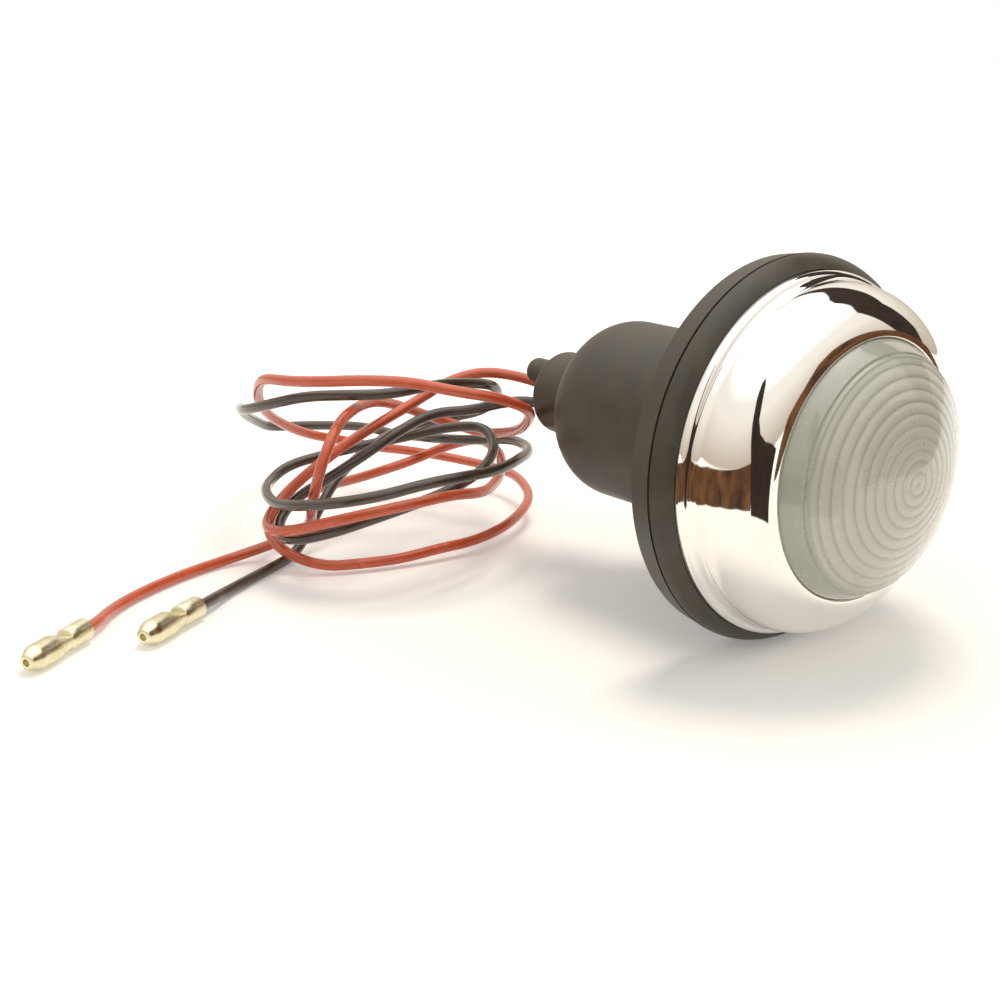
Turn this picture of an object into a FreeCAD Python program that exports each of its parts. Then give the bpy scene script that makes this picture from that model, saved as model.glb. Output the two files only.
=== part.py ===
"""Side light with a rubber body: flange, cup and neck in one moulding, a bright rim, a ringed glass, a bayonet
bulb in its holder, and two wires that end in bullet terminals. Sizes are in millimetres.

Frame: +X out of the glass along the lamp's axis, +Z up, origin at the centre of the flange's rear face."""
import math
import os

import FreeCAD
import Part
import Sketcher
from FreeCAD import Rotation, Vector

doc = FreeCAD.newDocument("side_light")
sheet = doc.addObject("Spreadsheet::Sheet", "Sizes")

# Driving sizes
SIZES = {
    "fit_gap": 0.1,
    # rubber body
    "flange_rad": 38.0, "flange_draft": 0.7, "band_x": 4.7, "line_wide": 0.5, "line_deep": 0.5,
    "lip_front_x": 8.9, "lip_reach": 1.2, "lip_round": 5.0, "groove_x": 5.6, "groove_wall": 1.4, "groove_wide": 4.4,
    "inner_lip_wall": 1.8, "hook_reach": 1.1, "hook_thick": 1.4, "ledge_x": 5.0, "ledge_wide": 2.7, "web_thick": 2.6,
    "cup_rad": 19.05, "cup_len": 38.0, "cup_wall": 2.65, "shoulder_len": 10.0, "shoulder_round": 10.0,
    "neck_rad": 9.2, "neck_len": 13.0, "neck_round": 1.5, "neck_bore_rad": 6.0, "neck_end_wall": 4.0,
    "spare_rad": 3.0, "spare_len": 8.0, "spare_y": -1.5, "spare_z": 3.9, "spare_round": 2.0,
    "outlet_rad": 2.0, "outlet_len": 1.0, "red_y": 4.0, "red_z": -1.0, "black_y": -3.0, "black_z": -3.0,
    "fix_hole_rad": 2.1, "fix_hole_edge": 4.6,
    # rim
    "sheet_thick": 0.8, "bead_stand": 3.4, "bead_round": 1.0, "crease_len": 1.6, "crease_drop": 1.7,
    "dome_round": 10.4, "dome_over": 1.5, "dome_lens_gap": 0.15, "edge_turn": 0.14,
    # lens
    "lens_flange_wide": 1.9, "lens_flange_thick": 3.0, "skirt_wall": 2.8, "skirt_taper": 3.45,
    "side_round": 9.0, "side_len": 6.8, "side_drop": 4.65, "step_drop": 0.45, "step_fall": 0.35007,
    "lens_top_x": 34.9, "lens_round": 39.5, "lens_wall": 3.0, "ring_first": 2.2, "ring_pitch": 2.05,
    "ring_round": 1.5, "lens_neck_back": 1.6, "lens_neck_wall": 2.95, "lens_turn_back": 3.8, "lens_turn_wall": 0.3,
    # plate and bulb holder
    "plate_thick": 0.8, "tube_bore_rad": 7.65, "tube_wall": 0.55, "tube_rear_x": 22.0,
    "tube_flange_rad": 9.4, "tube_flange_thick": 0.55, "tube_lip_rad": 5.6, "slot_wide": 2.4, "slot_rear_x": 9.8,
    "hook_slot": 4.0, "slot_over": 4.0,
    "carrier_rad": 7.4, "carrier_thick": 1.5, "tip_head_rad": 2.2, "tip_head_thick": 1.0, "tip_shank_rad": 1.2,
    "tip_tail_x": 19.0, "spring_rad": 5.2, "spring_wire_rad": 0.4, "spring_pitch": 1.0, "washer_thick": 0.85,
    "washer_hole_rad": 3.4, "washer_rad": 7.5,
    "tag_wide": 5.0, "tag_thick": 0.6, "tag_top": 9.9, "tag_low": 14.85, "tag_leg": 9.0,
    "rivet_rad": 1.5, "rivet_head_rad": 2.0, "rivet_head_thick": 0.7, "rivet_low": 12.1,
    # bulb
    "cap_rad": 7.5, "cap_wall": 0.5, "cap_rear_x": 13.5, "cap_front_x": 2.5, "cap_floor": 1.5, "pin_rad": 1.0,
    "pin_x": 8.5, "pin_reach": 8.6, "blob_rad": 2.4, "blob_front_rad": 3.0, "blob_thick": 1.1, "globe_rad": 9.5,
    "globe_x": 12.0,
    "glass_wall": 0.7, "stem_rad": 6.9, "stem_rear_x": 6.0, "post_rad": 0.3, "post_y": 3.0, "coil_rad": 0.5,
    # wires and terminals
    "wire_rad": 1.2, "bullet_rad": 2.35, "bullet_len": 18.5, "barrel_rad": 2.2, "barrel_len": 7.0,
    "waist_rad": 1.85, "waist_len": 1.4, "nose_len": 2.6, "nose_rad": 1.3, "nose_hole_rad": 0.7,
    "nose_hole_deep": 1.6, "bullet_bore_deep": 5.0, "wire_in_bullet": 4.5,
}
for number, (alias, size) in enumerate(SIZES.items(), 1):
    sheet.set(f"A{number}", alias)
    sheet.set(f"B{number}", str(size))
    sheet.setAlias(f"B{number}", alias)
doc.recompute()


class Size:
    """A number of now and the expression that follows the sheet."""

    def __init__(self, value, text):
        self.value = value
        self.text = text

    def __add__(self, other):
        other = plain(other)
        return Size(self.value + other.value, f"({self.text} + {other.text})")

    def __sub__(self, other):
        other = plain(other)
        return Size(self.value - other.value, f"({self.text} - {other.text})")

    def __mul__(self, other):
        other = plain(other)
        return Size(self.value * other.value, f"({self.text} * {other.text})")

    def __neg__(self):
        return Size(-self.value, f"(-1 * {self.text})")

    def root(self):
        return Size(math.sqrt(self.value), f"sqrt({self.text})")


def plain(number):
    return number if isinstance(number, Size) else Size(float(number), f"{number}")


# Sizes that follow from the driving ones, by name
FOLLOWERS = {}


def of(alias):
    return FOLLOWERS[alias] if alias in FOLLOWERS else Size(SIZES[alias], f"Sizes.{alias}")


def bind(thing, prop, size):
    thing.setExpression(prop, plain(size).text)


def plane(body, role):
    return next(o for o in body.Origin.OriginFeatures if o.Role == role)


def new_sketch(body, name, role):
    sketch = body.newObject("Sketcher::SketchObject", name)
    sketch.AttachmentSupport = [(plane(body, role), "")]
    sketch.MapMode = "FlatFace"
    return sketch


# A closed outline: corners in sketch coordinates, with a radius where the next side is an arc.
# LEFT or RIGHT says on which side of the way round the arc's centre lies.
def outline(sketch, corners):
    flat = [(plain(c[0]), plain(c[1]), c[2] if len(c) > 2 else None) for c in corners]
    count = len(flat)
    for i, (x, y, arc) in enumerate(flat):
        nx, ny, _ = flat[(i + 1) % count]
        a = Vector(x.value, y.value, 0)
        b = Vector(nx.value, ny.value, 0)
        if arc is None:
            sketch.addGeometry(Part.LineSegment(a, b), False)
            continue
        radius, turn = abs(arc[0].value), arc[1]
        chord = b - a
        half = chord.Length / 2
        across = Vector(-chord.y, chord.x, 0).normalize() * turn
        middle = (a + b) * 0.5
        centre = middle + across * math.sqrt(radius * radius - half * half)
        top = centre - across * radius
        sketch.addGeometry(Part.Arc(a, top, b), False)
    ends = []
    for i, (x, y, arc) in enumerate(flat):
        start = Vector(x.value, y.value, 0)
        first = 1
        if arc is not None and (sketch.getPoint(i, 1) - start).Length > 1e-6:
            first = 2
        ends.append((first, 3 - first))
    for i in range(count):
        after = (i + 1) % count
        sketch.addConstraint(Sketcher.Constraint("Coincident", i, ends[i][1], after, ends[after][0]))
    for i, (x, y, arc) in enumerate(flat):
        for kind, size in (("DistanceX", x), ("DistanceY", y)):
            at = sketch.addConstraint(Sketcher.Constraint(kind, -1, 1, i, ends[i][0], size.value))
            sketch.setExpression(f"Constraints[{at}]", size.text)
        if arc is not None:
            at = sketch.addConstraint(Sketcher.Constraint("Radius", i, abs(arc[0].value)))
            sketch.setExpression(f"Constraints[{at}]", arc[0].text)


def new_body(label):
    body = doc.addObject("PartDesign::Body", label)
    body.Label = label
    return body


def turned(body, name, corners):
    sketch = new_sketch(body, name + "_outline", "XZ_Plane")
    outline(sketch, corners)
    feature = body.newObject("PartDesign::Revolution", name)
    feature.Profile = sketch
    feature.ReferenceAxis = (sketch, ["H_Axis"])
    feature.Angle = 360.0
    return feature


# A round bar along X between two places, joined to the body or cut from it.
def bar(body, name, kind, radius, start, length, y=0.0, z=0.0):
    feature = body.newObject(kind, name)
    bind(feature, "Radius", radius)
    bind(feature, "Height", length)
    feature.AttachmentSupport = [(plane(body, "YZ_Plane"), "")]
    feature.MapMode = "FlatFace"
    bind(feature, "AttachmentOffset.Base.x", y)
    bind(feature, "AttachmentOffset.Base.y", z)
    bind(feature, "AttachmentOffset.Base.z", start)
    return feature


LEFT = 1
RIGHT = -1

# Radii from the flange's edge inwards: each wall and gap in turn
FOLLOWERS["flange_rear_rad"] = of("flange_rad") - of("flange_draft")
FOLLOWERS["groove_rad"] = of("flange_rad") - of("groove_wall")
FOLLOWERS["lip_rad"] = of("groove_rad") - of("lip_reach")
FOLLOWERS["inner_lip_rad"] = of("groove_rad") - of("groove_wide")
FOLLOWERS["lens_flange_rad"] = of("inner_lip_rad") - of("inner_lip_wall") - of("fit_gap")
FOLLOWERS["hook_rad"] = of("lens_flange_rad") - of("hook_reach")
FOLLOWERS["plate_rad"] = of("lens_flange_rad") - of("ledge_wide")
FOLLOWERS["fix_circle_rad"] = of("plate_rad") - of("fix_hole_edge")
FOLLOWERS["lens_skirt_rad"] = of("lens_flange_rad") - of("lens_flange_wide")
FOLLOWERS["lens_inner_rad"] = of("lens_skirt_rad") - of("skirt_wall")
FOLLOWERS["lens_edge_rad"] = of("lens_skirt_rad") - of("skirt_taper")
FOLLOWERS["lens_neck_rad"] = of("lens_edge_rad") - of("lens_neck_wall")
FOLLOWERS["step_rad"] = of("lens_edge_rad") - of("side_drop")
FOLLOWERS["lens_turn_rad"] = of("step_rad") - of("lens_turn_wall")
FOLLOWERS["dome_end_rad"] = of("lens_edge_rad") + of("dome_lens_gap")
FOLLOWERS["crease_rad"] = of("lip_rad") - of("fit_gap") - of("crease_drop")

# Places along the axis: the glass from its top back to its side, and the rim that reaches over it
centre_x = of("lens_top_x") - of("lens_round")
step_top_rad = of("step_rad") - of("step_drop")
step_top_x = centre_x + (of("lens_round") * of("lens_round") - step_top_rad * step_top_rad).root()
FOLLOWERS["step_x"] = step_top_x - of("step_fall")
FOLLOWERS["lens_edge_x"] = of("step_x") - of("side_len")
FOLLOWERS["lens_turn_x"] = of("step_x") - of("lens_turn_back")
FOLLOWERS["lens_neck_x"] = of("lens_edge_x") - of("lens_neck_back")
FOLLOWERS["dome_end_x"] = of("lens_edge_x") + of("dome_over")
FOLLOWERS["bead_x"] = of("groove_x") + of("fit_gap") + of("sheet_thick") + of("bead_stand")
FOLLOWERS["crease_x"] = of("bead_x") + of("bead_round") + of("crease_len")

# Rubber body
neck_end = -(of("cup_len") + of("shoulder_len") + of("neck_len"))
shoulder_end = -(of("cup_len") + of("shoulder_len"))
lens_rear = of("ledge_x")
lens_flange_front = of("ledge_x") + of("lens_flange_thick")
hook_rear = lens_flange_front + of("fit_gap")
foot_front = of("groove_x") + of("fit_gap") + of("sheet_thick")
line_end = of("band_x") + of("line_wide")
bore_rad = of("cup_rad") - of("cup_wall")
line_rad = of("flange_rad") - of("line_deep")
neck_floor = neck_end + of("neck_end_wall")
rubber = new_body("rubber_body")
turned(rubber, "rubber_moulding", [
    (neck_end, 0),
    (neck_end, of("neck_rad") - of("neck_round"), (of("neck_round"), RIGHT)),
    (neck_end + of("neck_round"), of("neck_rad")),
    (shoulder_end, of("neck_rad"), (of("shoulder_round"), RIGHT)),
    (-of("cup_len"), of("cup_rad")),
    (0, of("cup_rad")),
    (0, of("flange_rear_rad")),
    (of("band_x"), of("flange_rad")),
    (of("band_x"), line_rad),
    (line_end, line_rad),
    (line_end, of("flange_rad"), (of("lip_round"), RIGHT)),
    (of("lip_front_x"), of("lip_rad")),
    (foot_front + of("fit_gap"), of("lip_rad")),
    (foot_front + of("fit_gap"), of("groove_rad")),
    (of("groove_x"), of("groove_rad")),
    (of("groove_x"), of("inner_lip_rad")),
    (hook_rear + of("hook_thick"), of("inner_lip_rad")),
    (hook_rear + of("hook_thick"), of("hook_rad")),
    (hook_rear, of("hook_rad")),
    (hook_rear, of("lens_flange_rad") + of("fit_gap")),
    (of("ledge_x"), of("lens_flange_rad") + of("fit_gap")),
    (of("ledge_x"), of("plate_rad") + of("fit_gap")),
    (of("web_thick"), of("plate_rad") + of("fit_gap")),
    (of("web_thick"), bore_rad),
    (-of("cup_len"), bore_rad),
    (-of("cup_len") - of("shoulder_len") * 0.56, bore_rad - of("shoulder_len") * 0.38),
    (shoulder_end + of("cup_wall"), of("neck_rad")),
    (shoulder_end + of("cup_wall"), of("neck_bore_rad")),
    (neck_floor, of("neck_bore_rad")),
    (neck_floor, 0),
])
bar(rubber, "spare_outlet", "PartDesign::AdditiveCylinder", of("spare_rad"), neck_end - of("spare_len"),
    of("spare_len") + 1.0, of("spare_y"), of("spare_z"))
for wire in ("red", "black"):
    y, z = of(wire + "_y"), of(wire + "_z")
    bar(rubber, wire + "_outlet", "PartDesign::AdditiveCylinder", of("outlet_rad"), neck_end - of("outlet_len"),
        of("outlet_len") + 1.0, y, z)
for wire in ("red", "black"):
    y, z = of(wire + "_y"), of(wire + "_z")
    bar(rubber, wire + "_hole", "PartDesign::SubtractiveCylinder", of("wire_rad") + 0.02,
        neck_end - of("outlet_len") - 1.0, of("outlet_len") + of("neck_end_wall") + 2.0, y, z)


# Three fixing holes through a body along X, spread evenly
def fixing_holes(body, name, start, length):
    hole = bar(body, name, "PartDesign::SubtractiveCylinder", of("fix_hole_rad"), start, length,
               0.0, of("fix_circle_rad"))
    pattern = body.newObject("PartDesign::PolarPattern", name + "_ring")
    pattern.Originals = [hole]
    pattern.Axis = (next(o for o in body.Origin.OriginFeatures if o.Role == "X_Axis"), [""])
    pattern.Angle = 360.0
    pattern.Occurrences = 3
    body.Tip = pattern


doc.recompute()
fixing_holes(rubber, "flange_hole", plain(-1.0), of("web_thick") + 2.0)
doc.recompute()
holed = rubber.Tip
spare_end_x = neck_end.value - SIZES["spare_len"]
end_edges = []
for number, edge in enumerate(holed.Shape.Edges, 1):
    if abs(edge.BoundBox.XMax - spare_end_x) < 0.001 and abs(edge.BoundBox.XMin - spare_end_x) < 0.001:
        end_edges.append(f"Edge{number}")
fillet = rubber.newObject("PartDesign::Fillet", "spare_end_round")
fillet.Base = (holed, end_edges)
bind(fillet, "Radius", of("spare_round"))
rubber.Tip = fillet

# Bright rim
rim = new_body("chrome_rim")
foot_rear = of("groove_x") + of("fit_gap")
skirt = of("lip_rad") - of("fit_gap")
thin = of("sheet_thick")
turned(rim, "rim_pressing", [
    (foot_rear, of("groove_rad") - of("fit_gap") * 2),
    (foot_front, of("groove_rad") - of("fit_gap") * 2),
    (foot_front, skirt),
    (of("bead_x"), skirt, (of("bead_round"), RIGHT)),
    (of("bead_x") + of("bead_round"), skirt - of("bead_round")),
    (of("crease_x"), of("crease_rad"), (of("dome_round"), RIGHT)),
    (of("dome_end_x"), of("dome_end_rad")),
    (of("dome_end_x") - thin, of("dome_end_rad") - of("edge_turn"), (of("dome_round") - thin, LEFT)),
    (of("crease_x"), of("crease_rad") - thin),
    (of("bead_x") + of("bead_round") - thin * 0.5, skirt - of("bead_round") - thin * 0.6),
    (of("bead_x"), skirt - thin),
    (foot_rear, skirt - thin),
])

# Lens
lens = new_body("lens")
inner_round = of("lens_round") - of("lens_wall")
ring_count = int((of("lens_turn_rad").value - SIZES["ring_first"]) / SIZES["ring_pitch"])


def inner_x(radius):
    radius = plain(radius)
    return centre_x + (inner_round * inner_round - radius * radius).root()


rings = []
for k in range(ring_count):
    ring = of("ring_first") + of("ring_pitch") * k
    rings.append((inner_x(ring), ring, (of("ring_round"), RIGHT)))
last_ring = of("ring_first") + of("ring_pitch") * ring_count
turned(lens, "lens_glass", [
    (lens_rear, of("lens_inner_rad")),
    (lens_rear, of("lens_flange_rad")),
    (lens_flange_front, of("lens_flange_rad")),
    (lens_flange_front, of("lens_skirt_rad")),
    (of("lens_edge_x"), of("lens_edge_rad"), (of("side_round"), RIGHT)),
    (of("step_x"), of("step_rad")),
    (step_top_x, step_top_rad, (of("lens_round"), RIGHT)),
    (of("lens_top_x"), 0),
    (of("lens_top_x") - of("lens_wall"), 0),
    (inner_x(of("ring_first")), of("ring_first") * 0.6),
] + rings + [
    (inner_x(last_ring), last_ring),
    (of("lens_turn_x"), of("lens_turn_rad")),
    (of("lens_neck_x"), of("lens_neck_rad")),
])

# Plate and bulb holder
plate_rear = of("web_thick")
plate_front = of("web_thick") + of("plate_thick")
tube_rad = of("tube_bore_rad") + of("tube_wall")
plate = new_body("base_plate")
turned(plate, "plate_pressing", [
    (plate_rear, tube_rad + of("fit_gap")),
    (plate_front, tube_rad + of("fit_gap")),
    (plate_front, of("plate_rad")),
    (plate_rear, of("plate_rad")),
])
bar(plate, "rivet_hole", "PartDesign::SubtractiveCylinder", of("rivet_rad"), plate_rear - 1.0,
    of("plate_thick") + 2.0, 0.0, -of("rivet_low"))
doc.recompute()
fixing_holes(plate, "plate_hole", plate_rear - 1.0, of("plate_thick") + 2.0)

tube_front = plate_front + of("tube_flange_thick")
tube_lip = -of("tube_rear_x") + of("tube_wall")
tube = new_body("bulb_tube")
turned(tube, "tube_pressing", [
    (tube_front, of("tube_bore_rad")),
    (tube_front, of("tube_flange_rad")),
    (plate_front, of("tube_flange_rad")),
    (plate_front, tube_rad),
    (-of("tube_rear_x"), tube_rad),
    (-of("tube_rear_x"), of("tube_lip_rad")),
    (tube_lip, of("tube_lip_rad")),
    (tube_lip, of("tube_bore_rad")),
])


# A block given by its low corner and its three lengths
def block(name, corner, lengths):
    box = doc.addObject("Part::Box", name)
    for axis, place, prop, length in zip("xyz", corner, ("Length", "Width", "Height"), lengths):
        bind(box, "Placement.Base." + axis, place)
        bind(box, prop, length)
    return box


slot_low = -of("slot_rear_x")
wide = of("slot_wide")
slot_side = tube_rad + of("slot_over")
slot_len = tube_front - slot_low + of("slot_over")
slot = block("bayonet_slot", (slot_low, -slot_side, wide * -0.5), (slot_len, slot_side * 2, wide))
hook_right = block("bayonet_hook_right", (slot_low, 0, wide * -0.5), (wide, slot_side, of("hook_slot")))
hook_left = block("bayonet_hook_left", (slot_low, -slot_side, wide * 0.5 - of("hook_slot")),
                  (wide, slot_side, of("hook_slot")))
slots = doc.addObject("Part::MultiFuse", "bayonet_slots")
slots.Shapes = [slot, hook_right, hook_left]
holder = doc.addObject("Part::Cut", "bulb_holder")
holder.Label = "bulb_holder"
holder.Base = tube
holder.Tool = slots

# Contact, carrier, spring and washer
blob_rear = -(of("cap_rear_x") + of("blob_thick"))
carrier_front = blob_rear - of("tip_head_thick")
carrier_rear = carrier_front - of("carrier_thick")
washer_front = tube_lip + of("washer_thick")
carrier = new_body("contact_carrier")
turned(carrier, "carrier_disc", [
    (carrier_rear, of("tip_shank_rad")),
    (carrier_rear, of("carrier_rad")),
    (carrier_front, of("carrier_rad")),
    (carrier_front, of("tip_shank_rad")),
])
tip = new_body("contact_tip")
turned(tip, "tip_rivet", [
    (-of("tip_tail_x"), 0),
    (-of("tip_tail_x"), of("tip_shank_rad")),
    (carrier_front, of("tip_shank_rad")),
    (carrier_front, of("tip_head_rad")),
    (blob_rear, of("tip_head_rad")),
    (blob_rear, 0),
])
spring = new_body("contact_spring")
spring_sketch = new_sketch(spring, "spring_section", "XZ_Plane")
start_x = washer_front + of("spring_wire_rad")
spring_sketch.addGeometry(
    Part.Circle(Vector(start_x.value, SIZES["spring_rad"], 0), Vector(0, 0, 1), SIZES["spring_wire_rad"]), False)
for kind, size in (("DistanceX", start_x), ("DistanceY", of("spring_rad"))):
    at = spring_sketch.addConstraint(Sketcher.Constraint(kind, -1, 1, 0, 3, size.value))
    spring_sketch.setExpression(f"Constraints[{at}]", size.text)
at = spring_sketch.addConstraint(Sketcher.Constraint("Radius", 0, SIZES["spring_wire_rad"]))
spring_sketch.setExpression(f"Constraints[{at}]", of("spring_wire_rad").text)
coil = spring.newObject("PartDesign::AdditiveHelix", "spring_coil")
coil.Profile = spring_sketch
coil.ReferenceAxis = (spring_sketch, ["H_Axis"])
coil.Mode = "pitch-height-angle"
bind(coil, "Pitch", of("spring_pitch"))
bind(coil, "Height", carrier_rear - washer_front - of("spring_wire_rad") * 2)
washer = new_body("spring_washer")
turned(washer, "washer_ring", [
    (tube_lip, of("washer_hole_rad")),
    (tube_lip, of("washer_rad")),
    (washer_front, of("washer_rad")),
    (washer_front, of("washer_hole_rad")),
])

# Earth tag and rivet
tag = new_body("earth_tag")
tag_sketch = new_sketch(tag, "tag_outline", "XZ_Plane")
outline(tag_sketch, [
    (plate_rear, -of("tag_top")),
    (plate_rear, -of("tag_low")),
    (plate_rear - of("tag_thick") - of("tag_leg"), -of("tag_low")),
    (plate_rear - of("tag_thick") - of("tag_leg"), -of("tag_low") + of("tag_thick")),
    (plate_rear - of("tag_thick"), -of("tag_low") + of("tag_thick")),
    (plate_rear - of("tag_thick"), -of("tag_top")),
])
strip = tag.newObject("PartDesign::Pad", "tag_strip")
strip.Profile = tag_sketch
strip.Midplane = True
bind(strip, "Length", of("tag_wide"))
doc.recompute()
bar(tag, "tag_hole", "PartDesign::SubtractiveCylinder", of("rivet_rad"), plate_rear - of("tag_thick") - 0.5,
    of("tag_thick") + 1.0, 0.0, -of("rivet_low"))
rivet = new_body("earth_rivet")
rivet_rear = plate_rear - of("tag_thick")
bar(rivet, "rivet_shank", "PartDesign::AdditiveCylinder", of("rivet_rad"), rivet_rear,
    of("plate_thick") + of("tag_thick"), 0.0, -of("rivet_low"))
bar(rivet, "rivet_front", "PartDesign::AdditiveCylinder", of("rivet_head_rad"), plate_front,
    of("rivet_head_thick"), 0.0, -of("rivet_low"))
bar(rivet, "rivet_back", "PartDesign::AdditiveCylinder", of("rivet_head_rad"), rivet_rear - of("rivet_head_thick"),
    of("rivet_head_thick"), 0.0, -of("rivet_low"))

# Bulb
cap = new_body("bulb_cap")
turned(cap, "cap_shell", [
    (-of("cap_rear_x"), 0),
    (-of("cap_rear_x"), of("cap_rad")),
    (of("cap_front_x"), of("cap_rad")),
    (of("cap_front_x"), of("cap_rad") - of("cap_wall")),
    (-of("cap_rear_x") + of("cap_floor"), of("cap_rad") - of("cap_wall")),
    (-of("cap_rear_x") + of("cap_floor"), 0),
])
doc.recompute()
for side, sign in (("right", 1.0), ("left", -1.0)):
    pin = cap.newObject("PartDesign::AdditiveCylinder", "pin_" + side)
    bind(pin, "Radius", of("pin_rad"))
    bind(pin, "Height", of("pin_reach") - of("cap_rad") + of("cap_wall") * 0.5)
    pin.AttachmentSupport = [(plane(cap, "XZ_Plane"), "")]
    pin.MapMode = "FlatFace"
    bind(pin, "AttachmentOffset.Base.x", -of("pin_x"))
    if sign > 0:
        bind(pin, "AttachmentOffset.Base.z", -of("pin_reach"))
    else:
        bind(pin, "AttachmentOffset.Base.z", of("cap_rad") - of("cap_wall") * 0.5)
blob = new_body("bulb_contact")
turned(blob, "contact_solder", [
    (blob_rear, 0),
    (blob_rear, of("blob_rad")),
    (-of("cap_rear_x"), of("blob_front_rad")),
    (-of("cap_rear_x"), 0),
])
globe = new_body("bulb_glass")
globe_rad, stem_rad, wall = of("globe_rad"), of("stem_rad"), of("glass_wall")
globe_in, stem_in = globe_rad - wall, stem_rad - wall
throat = of("globe_x") - (globe_rad * globe_rad - stem_rad * stem_rad).root()
throat_in = of("globe_x") - (globe_in * globe_in - stem_in * stem_in).root()
globe_front = of("globe_x") + globe_rad
turned(globe, "globe_glass", [
    (-of("stem_rear_x"), 0),
    (-of("stem_rear_x"), stem_rad),
    (throat, stem_rad),
    (of("globe_x"), globe_rad, (globe_rad, RIGHT)),
    (globe_front, 0),
    (globe_front - wall, 0, (globe_in, LEFT)),
    (of("globe_x"), globe_in),
    (throat_in, stem_in),
    (-of("stem_rear_x") + wall, stem_in),
    (-of("stem_rear_x") + wall, 0),
])
filament = new_body("bulb_filament")
post_start = -of("stem_rear_x") + wall
for side, sign in (("right", 1.0), ("left", -1.0)):
    bar(filament, "post_" + side, "PartDesign::AdditiveCylinder", of("post_rad"), post_start,
        of("globe_x") - post_start, of("post_y") * sign)
    if sign > 0:
        cross = filament.newObject("PartDesign::AdditiveCylinder", "coil")
        bind(cross, "Radius", of("coil_rad"))
        bind(cross, "Height", of("post_y") * 2)
        cross.AttachmentSupport = [(plane(filament, "XZ_Plane"), "")]
        cross.MapMode = "FlatFace"
        bind(cross, "AttachmentOffset.Base.x", of("globe_x"))
        bind(cross, "AttachmentOffset.Base.z", -of("post_y"))

# Bullet terminals: drawn along X from the wire end, then laid on the floor at the ends of the wires
def bullet(label):
    body = new_body(label)
    barrel_end = of("barrel_len")
    waist_end = barrel_end + of("waist_len")
    nose_start = of("bullet_len") - of("nose_len")
    bore = of("wire_rad") + of("fit_gap") * 0.5
    turned(body, label + "_turning", [
        (0, bore),
        (0, of("barrel_rad")),
        (barrel_end, of("barrel_rad")),
        (barrel_end + of("waist_len") * 0.3, of("waist_rad")),
        (waist_end, of("waist_rad")),
        (waist_end, of("bullet_rad")),
        (nose_start, of("bullet_rad")),
        (of("bullet_len") - of("nose_len") * 0.4, of("bullet_rad") - of("nose_len") * 0.13),
        (of("bullet_len"), of("nose_rad")),
        (of("bullet_len"), of("nose_hole_rad")),
        (of("bullet_len") - of("nose_hole_deep"), of("nose_hole_rad")),
        (of("bullet_len") - of("nose_hole_deep"), 0),
        (of("bullet_bore_deep"), 0),
        (of("bullet_bore_deep"), bore),
    ])
    return body


# Wire routes: the points where the straight runs would meet
RED_POINTS = [
    (-62, 4, -1), (-69, 4, -1), (-76, 0, 1), (-82, -6, 2), (-86, -13, 0), (-87, -22, -4), (-87, -31, -7),
    (-86, -41, -10), (-88, -49, -15), (-92, -53, -20), (-92, -58, -24), (-87, -63, -26), (-79, -63, -25),
    (-71, -58, -22), (-63, -51, -19), (-60, -42, -18), (-60, -32, -18), (-62, -22, -20), (-68, -14, -21),
    (-74, -7, -21), (-82, 0, -20), (-91, 5, -20), (-100, 7, -20), (-108, 3, -23), (-111, -5, -26),
    (-111, -15, -27), (-109, -25, -27), (-106, -34, -26), (-104, -43, -26), (-101, -51, -28), (-97, -57, -30),
    (-89, -58, -33), (-82, -52, -36), (-78, -44, -36), (-75, -35, -36), (-73, -26, -35), (-72, -17, -35),
    (-73, -7, -34), (-77, 2, -33), (-83, 10, -32), (-92, 15, -31), (-101, 18, -31), (-111, 17, -31),
    (-120, 12, -30), (-125, 4, -28), (-127, -5, -26), (-129, -14, -23), (-130, -24, -20), (-127, -32, -16),
    (-122, -40, -11), (-116, -46, -6), (-108, -51, 0), (-100, -54, 4), (-90, -54, 5), (-81, -51, 6),
    (-73, -46, 7), (-65, -39, 7), (-59, -32, 5), (-55, -23, 3), (-55, -14, -1), (-62, -9, -6), (-70, -5, -10),
    (-79, -2, -13), (-88, -1, -15), (-95, -6, -13), (-95, -15, -9), (-92, -24, -5), (-87, -33, -2), (-82, -41, -1),
    (-77, -49, -2), (-73, -55, -6), (-73, -58, -13), (-77, -57, -20), (-84, -53, -26), (-92, -51, -31),
    (-99, -57, -35), (-101, -66, -36.7), (-99, -76, -36.7), (-96, -85, -36.7), (-92, -94, -36.7),
    (-87, -101, -36.5), (-81, -106, -35.6), (-77, -113, -35.6),
]
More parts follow.
